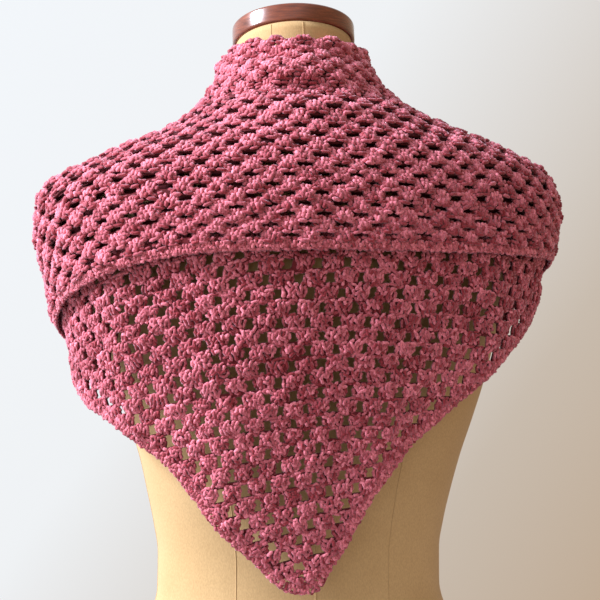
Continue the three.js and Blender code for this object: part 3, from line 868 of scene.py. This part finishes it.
class Nodes:
    """A short way to build a material's node tree."""

    def __init__(self, name):
        self.material = bpy.data.materials.new(name)
        self.material.use_nodes = True
        self.tree = self.material.node_tree
        self.shader = self.tree.nodes["Principled BSDF"]

    def add(self, kind, **settings):
        node = self.tree.nodes.new(kind)
        for key, value in settings.items():
            setattr(node, key, value)
        return node

    def link(self, a, b):
        self.tree.links.new(a, b)

    def noise(self, scale, detail=3.0, roughness=0.6, stretch=None):
        node = self.add("ShaderNodeTexNoise")
        node.inputs["Scale"].default_value = scale
        node.inputs["Detail"].default_value = detail
        node.inputs["Roughness"].default_value = roughness
        where = self.add("ShaderNodeTexCoord").outputs["Object"]
        if stretch:
            mapping = self.add("ShaderNodeMapping")
            mapping.inputs["Scale"].default_value = stretch
            self.link(where, mapping.inputs["Vector"])
            where = mapping.outputs["Vector"]
        self.link(where, node.inputs["Vector"])
        return node

    def ramp(self, source, stops):
        node = self.add("ShaderNodeValToRGB")
        elements = node.color_ramp.elements
        while len(elements) < len(stops):
            elements.new(0.5)
        for element, (place, colour) in zip(elements, stops):
            element.position = place
            element.color = (*colour, 1)
        self.link(source, node.inputs["Fac"])
        return node.outputs["Color"]

    def mix(self, share, a, b, blend="MIX"):
        node = self.add("ShaderNodeMix", data_type="RGBA", blend_type=blend)
        for value, socket in ((share, node.inputs[0]), (a, node.inputs[6]), (b, node.inputs[7])):
            if isinstance(value, bpy.types.NodeSocket):
                self.link(value, socket)
            elif isinstance(value, tuple):
                socket.default_value = (*value, 1)
            else:
                socket.default_value = value
        return node.outputs[2]

    def bump(self, height, strength, distance):
        node = self.add("ShaderNodeBump")
        node.inputs["Strength"].default_value = strength
        node.inputs["Distance"].default_value = distance
        self.link(height, node.inputs["Height"])
        return node.outputs["Normal"]


def grey(value):
    return (value, value, value)


def yarn_material(name, deep, middle, light):
    """Plush yarn, coloured by its tone mark, with flecks of pile, partly painted highlights, and
    painted shade (the colour deep) where it stands low.
    """
    n = Nodes(name)
    marks = n.add("ShaderNodeAttribute", attribute_name="yarn")
    split = n.add("ShaderNodeSeparateColor")
    n.link(marks.outputs["Color"], split.inputs["Color"])
    by_tone = n.ramp(split.outputs[0], [(0.1, middle), (0.9, light)])
    pile = n.noise(620, 2, 0.6, (1.3, 1.3, 0.7))
    # Flecks of pile, partly real speckle and partly painted highlight: the light flecks are paler,
    # as glints are.
    pile_and_glint = n.ramp(pile.outputs["Fac"], [(0.36, (0.72, 0.64, 0.64)), (0.64, (1.3, 1.5, 1.5))])
    flecked = n.mix(1.0, by_tone, pile_and_glint, "MULTIPLY")
    # Painted shade: where the height mark is low, between and under the lumps, the colour goes to
    # deep.
    depth = n.ramp(split.outputs[1], [(0.0, grey(0)), (0.16, grey(0.4)), (0.4, grey(1))])
    n.link(n.mix(depth, deep, flecked), n.shader.inputs["Base Color"])
    n.shader.inputs["Roughness"].default_value = 0.8
    n.shader.inputs["Specular IOR Level"].default_value = 0.12
    n.shader.inputs["Sheen Weight"].default_value = 0.45
    n.shader.inputs["Sheen Roughness"].default_value = 0.5
    n.shader.inputs["Sheen Tint"].default_value = (1.0, 0.75, 0.9, 1)
    n.link(n.bump(pile.outputs["Fac"], 0.45, 0.001), n.shader.inputs["Normal"])
    return n.material


def fibre_material(name, dark, light, broad, fine, stretch=None):
    """Knitted or spun stuff: slow colour change at the broad scale, threads at the fine one."""
    n = Nodes(name)
    base = n.ramp(n.noise(broad, 3).outputs["Fac"], [(0.3, dark), (0.7, light)])
    knit = n.noise(fine, 2, 0.5, stretch)
    threads = n.ramp(knit.outputs["Fac"], [(0.35, (0.90, 0.89, 0.87)), (0.65, grey(1.04))])
    n.link(n.mix(1.0, base, threads, "MULTIPLY"), n.shader.inputs["Base Color"])
    n.shader.inputs["Roughness"].default_value = 0.85
    n.shader.inputs["Specular IOR Level"].default_value = 0.15
    n.shader.inputs["Sheen Weight"].default_value = 0.1
    n.link(n.bump(knit.outputs["Fac"], 0.35, 0.0004), n.shader.inputs["Normal"])
    return n.material


def wood_material():
    """Varnished wood, its grain in level layers."""
    n = Nodes("dark_wood")
    grain = n.noise(60, 6, 0.65, (1.0, 1.0, 9.0))
    browns = [(0.25, (0.07, 0.011, 0.003)), (0.6, (0.2, 0.04, 0.01)), (0.85, (0.4, 0.1, 0.025))]
    n.link(n.ramp(grain.outputs["Fac"], browns), n.shader.inputs["Base Color"])
    rough = n.ramp(grain.outputs["Fac"], [(0.2, grey(0.2)), (0.8, grey(0.32))])
    n.link(rough, n.shader.inputs["Roughness"])
    n.shader.inputs["Coat Weight"].default_value = 0.6
    n.shader.inputs["Coat Roughness"].default_value = 0.2
    n.link(n.bump(grain.outputs["Fac"], 0.12, 0.0004), n.shader.inputs["Normal"])
    return n.material


def floor_material():
    n = Nodes("floor")
    n.shader.inputs["Specular IOR Level"].default_value = 0.4
    n.shader.inputs["Base Color"].default_value = (0.5, 0.505, 0.51, 1)
    n.shader.inputs["Roughness"].default_value = 0.9
    return n.material


# Painted shade, put on the yarn where it stands low, between and under the lumps.
CREVICE_SHADE = (0.15, 0.012, 0.017)
yarn = yarn_material("plush_yarn", CREVICE_SHADE, (0.28, 0.030, 0.040), (0.80, 0.212, 0.275))
border_yarn = yarn_material("plush_border", CREVICE_SHADE, (0.3, 0.034, 0.045), (0.77, 0.2, 0.25))
# The net between the lumps is coloured far darker than the yarn: painted shade, so that it reads as
# yarn in shadow.
net_yarn_in_shade = fibre_material("plush_net_shade", (0.07, 0.006, 0.009), (0.15, 0.016, 0.022), 180, 620)
jersey = fibre_material(
    "jersey", (0.52, 0.335, 0.155), (0.59, 0.39, 0.19), 9, 1100, (1.0, 1.0, 0.45)
)
jersey_seam = fibre_material("jersey_seam", (0.50, 0.32, 0.15), (0.56, 0.37, 0.18), 40, 1500)
wood = wood_material()

# The shawl.

UNDER_NET = 3.2  # thickness of the under layer's net
OUTER_NET = 1.6  # and of the cape's
CAPE_MIDDLE = 270  # half the width of the piece of the cape's yarn across the back
FRONT_BALL = (5, 2)  # coarser lumps at the sides and in front, to save triangles

under_net = net_object(
    "under_layer_net", panel, [(np.concatenate([back_cells, side_cells]), BACK_NET)], UNDER_NET
)
lower = back_cells[:, 0] < LOWER_ROWS
under_parts = [
    cluster_lumps(
        "under_layer_" + name, panel, back_cells[chosen], BACK_CLUSTER, PANEL_PITCH, 0.6, 22
    )
    for name, chosen in (("lower_yarn", lower), ("upper_yarn", ~lower))
]
collar = cape_cells[:, 0] < COLLAR_ROWS
cape_net = net_object(
    "cape_net", cape, [(cape_cells[collar], COLLAR_NET), (cape_cells[~collar], CAPE_NET)],
    OUTER_NET,
)
middle = np.abs(cape_cells[:, 1]) < CAPE_MIDDLE
left = cape_cells[:, 1] < 0
cape_parts = [
    cluster_lumps("cape_" + name, cape, cape_cells[chosen], table, CAPE_PITCH, slant, 9, sizes)
    for name, chosen, table, slant, sizes in (
        ("collar_yarn", collar, COLLAR_CLUSTER, 0.3, BALL),
        ("back_yarn", ~collar & middle, CAPE_CLUSTER, 1.4, BALL),
        ("left_yarn", ~collar & ~middle & left, CAPE_CLUSTER, 1.4, FRONT_BALL),
        ("right_yarn", ~collar & ~middle & ~left, CAPE_CLUSTER, 1.4, FRONT_BALL),
    )
]
under_border = border_lumps("under_layer_border", *panel_edge())
cape_border = border_lumps("cape_border", *cape_edge())

for piece, slot, nodes in (
    (under_net, "yarn", ["back_panel"]),
    *[(part, "yarn", []) for part in under_parts],
    (cape_net, "yarn", ["folded_cape"]),
    *[(part, "yarn", []) for part in cape_parts],
    (under_border, "border_yarn", ["border_back"]),
    (cape_border, "border_yarn", ["border_cape"]),
):
    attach(piece, "root")
    if nodes:
        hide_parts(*nodes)

# The dress form.


def tilted_form(degrees, z):
    """Points of the form, whose neck has a slanted top."""
    points = form_face(degrees, z)
    tilt = NECK_TILT * np.clip((z - TILT_FROM) / (NECK_TOP - TILT_FROM), 0, 1)
    points[:, 2] -= tilt * (points[:, 1] - NECK_FORWARD)
    return points


def closed_rings(name, rings, material):
    """Rings from one end to the other, each end drawn in to a thousandth of its ring."""
    first, last = rings[0].mean(0), rings[-1].mean(0)
    stack = np.array([
        first + (rings[0] - first) * 0.001,
        *rings,
        last + (rings[-1] - last) * 0.001,
    ])
    count = stack.shape[1]
    faces = []
    for i in range(len(stack) - 1):
        for j in range(count):
            k = (j + 1) % count
            faces.append((i * count + j, i * count + k, (i + 1) * count + k, (i + 1) * count + j))
    verts = stack.reshape(-1, 3)
    return mesh_object(name, verts, faces, material)


form_heights = np.concatenate([
    [FORM_FOOT, FORM_FOOT + 0.3, FORM_FOOT + 1.1],
    np.arange(22, TILT_FROM, 5.0),
    np.linspace(TILT_FROM, NECK_TOP, 6),
])
AROUND_FORM = np.arange(128) / 128 * 360 - 180
torso = closed_rings(
    "torso_cover", [tilted_form(AROUND_FORM, z + 0 * AROUND_FORM) for z in form_heights], jersey
)

SEAM_ANGLES = (0, 31, 90, 150, 180, -150, -90, -31)
SEAM_WIDE = 0.5  # half sizes of a seam's section
SEAM_HIGH = 0.3
SEAM_OUT = 0.05


def seam_tubes():
    """Fine raised seams down the cover."""
    heights = np.linspace(21, NECK_TOP - 0.5, 220)
    verts, faces = [], []
    around = 6
    n = len(heights)
    for degrees in SEAM_ANGLES:
        angle = degrees + 0 * heights
        line = tilted_form(angle, heights)
        outward = normal_of(form_face, angle, heights)
        beside = unit(np.cross(np.gradient(line, axis=0), outward))
        first = n * len(verts)
        for k in range(around):
            turn = 2 * math.pi * k / around
            side = beside * SEAM_WIDE * math.cos(turn)
            verts.append(line + side + outward * (SEAM_HIGH * math.sin(turn) + SEAM_OUT))
            a, b = first + k * n, first + (k + 1) % around * n
            faces += [(a + i, b + i, b + i + 1, a + i + 1) for i in range(n - 1)]
    return mesh_object("torso_seams", np.concatenate(verts), faces, jersey_seam)


seams = seam_tubes()


def lathe(name, profile, material, centre=(0, 0, 0), tilt=0.0, count=96, deep=1.0):
    """A turned body, its top tilted forwards. deep is its depth in shares of its width."""
    turn = np.arange(count) / count * 2 * np.pi
    cos, sin = math.cos(tilt), math.sin(tilt)
    rings = []
    for radius, z in profile:
        x, y = radius * np.cos(turn), deep * radius * np.sin(turn)
        rings.append(np.stack([x, y * cos + z * sin, z * cos - y * sin], -1) + np.array(centre))
    return closed_rings(name, rings, material)


def rounded(radius, low, high, rim, steps=6):
    """Profile of a disc's side with rounded rims."""
    turns = np.linspace(0, math.pi / 2, steps)
    lower = [(radius - rim + rim * math.sin(t), low + rim - rim * math.cos(t)) for t in turns]
    upper = [(radius - rim + rim * math.cos(t), high - rim + rim * math.sin(t)) for t in turns]
    return lower + upper


half = CAP_THICK / 2
cap_profile = [
    (20, -half),
    *rounded(CAP_RADIUS, -half, half, 2.5),
    (CAP_RADIUS * 0.8, half + 1.5),
    (CAP_RADIUS * 0.55, half + 3),
    (CAP_RADIUS * 0.25, half + 3.8),
]
tilt = math.atan(NECK_TILT)
rise = half + GAP
cap_centre = (0, NECK_FORWARD + rise * math.sin(tilt), NECK_TOP + rise * math.cos(tilt))
cap = lathe("neck_cap", cap_profile, wood, cap_centre, tilt)
board_profile = [(60, 0), *rounded(BOARD_HALF_WIDTH, 0, BOARD_THICK, 3), (60, BOARD_THICK)]
board = lathe(
    "base_board", board_profile, wood, count=160, deep=BOARD_HALF_DEPTH / BOARD_HALF_WIDTH
)
for piece, slot, nodes in (
    (torso, "jersey", ["form_torso"]),
    (seams, "jersey", []),
    (cap, "dark_wood", ["form_neck_cap"]),
    (board, "dark_wood", ["form_base"]),
):
    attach(piece, "root")
    if nodes:
        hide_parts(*nodes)

# Camera, lights and floor.

CAMERA_TURN = math.radians(-9)
CAMERA_AWAY = 1.15
CAMERA_HEIGHT = 0.472
CAMERA_LENS = 78.84
SENSOR_WIDTH = 36

lens = bpy.data.cameras.new("camera")
lens.lens = CAMERA_LENS
lens.sensor_width = SENSOR_WIDTH
camera = bpy.data.objects.new("camera", lens)
camera.location = (
    math.sin(CAMERA_TURN) * CAMERA_AWAY,
    -math.cos(CAMERA_TURN) * CAMERA_AWAY,
    CAMERA_HEIGHT,
)
look = Vector((0, 0, CAMERA_HEIGHT)) - camera.location
camera.rotation_euler = look.to_track_quat("-Z", "Y").to_euler()
bpy.context.scene.collection.objects.link(camera)
bpy.context.scene.camera = camera


def area_light(name, place, size, power, colour):
    data = bpy.data.lights.new(name, "AREA")
    data.shape = "DISK"
    data.size = size
    data.energy = power
    data.color = colour
    light = bpy.data.objects.new(name, data)
    light.location = place
    aim = Vector((0, 0, 0.48)) - Vector(place)
    light.rotation_euler = aim.to_track_quat("-Z", "Y").to_euler()
    bpy.context.scene.collection.objects.link(light)


area_light("key", (-2.1, -0.1, 1.8), 0.7, 150, (0.86, 0.9, 1.02))

# The world is a soft wall, light on the left and above, and warm and darker on the right.
BRIGHT_SIDE = (-0.7, 0.2, 0.5)
BRIGHT_REACH = 0.9
DARK_END = (0.36, 0.26, 0.18, 1)
BRIGHT_END = (0.96, 1.02, 1.1, 1)

world = bpy.data.worlds.new("studio")
world.use_nodes = True
sky = world.node_tree
where = sky.nodes.new("ShaderNodeTexCoord")
lean_left = sky.nodes.new("ShaderNodeVectorMath")
lean_left.operation = "DOT_PRODUCT"
lean_left.inputs[1].default_value = BRIGHT_SIDE
shade = sky.nodes.new("ShaderNodeValToRGB")
shade.color_ramp.elements[0].color = DARK_END
shade.color_ramp.elements[1].color = BRIGHT_END
for place, colour in (
    (0.36, (0.50, 0.36, 0.24, 1)),
    (0.46, (0.58, 0.50, 0.42, 1)),
    (0.58, (0.87, 0.89, 0.91, 1)),
):
    shade.color_ramp.elements.new(place).color = colour
half_range = sky.nodes.new("ShaderNodeMapRange")
half_range.inputs["From Min"].default_value = -BRIGHT_REACH
half_range.inputs["From Max"].default_value = BRIGHT_REACH
sky.links.new(where.outputs["Generated"], lean_left.inputs[0])
sky.links.new(lean_left.outputs["Value"], half_range.inputs["Value"])
sky.links.new(half_range.outputs["Result"], shade.inputs["Fac"])
sky.links.new(shade.outputs["Color"], sky.nodes["Background"].inputs["Color"])
sky.nodes["Background"].inputs["Strength"].default_value = 1.0
bpy.context.scene.world = world
bpy.context.scene.view_settings.view_transform = "Standard"

FLOOR_RADIUS = 600
FLOOR_SIDES = 96
FLOOR_Z = -0.5
turns = np.arange(FLOOR_SIDES) * 2 * np.pi / FLOOR_SIDES
circle = np.stack([np.cos(turns), np.sin(turns), 0 * turns], -1)
disc = FLOOR_RADIUS * circle + (0, 0, FLOOR_Z)
fan = [(FLOOR_SIDES, k, (k + 1) % FLOOR_SIDES) for k in range(FLOOR_SIDES)]
floor = mesh_object("floor", [*disc, (0, 0, FLOOR_Z)], fan, floor_material(), smooth=False)
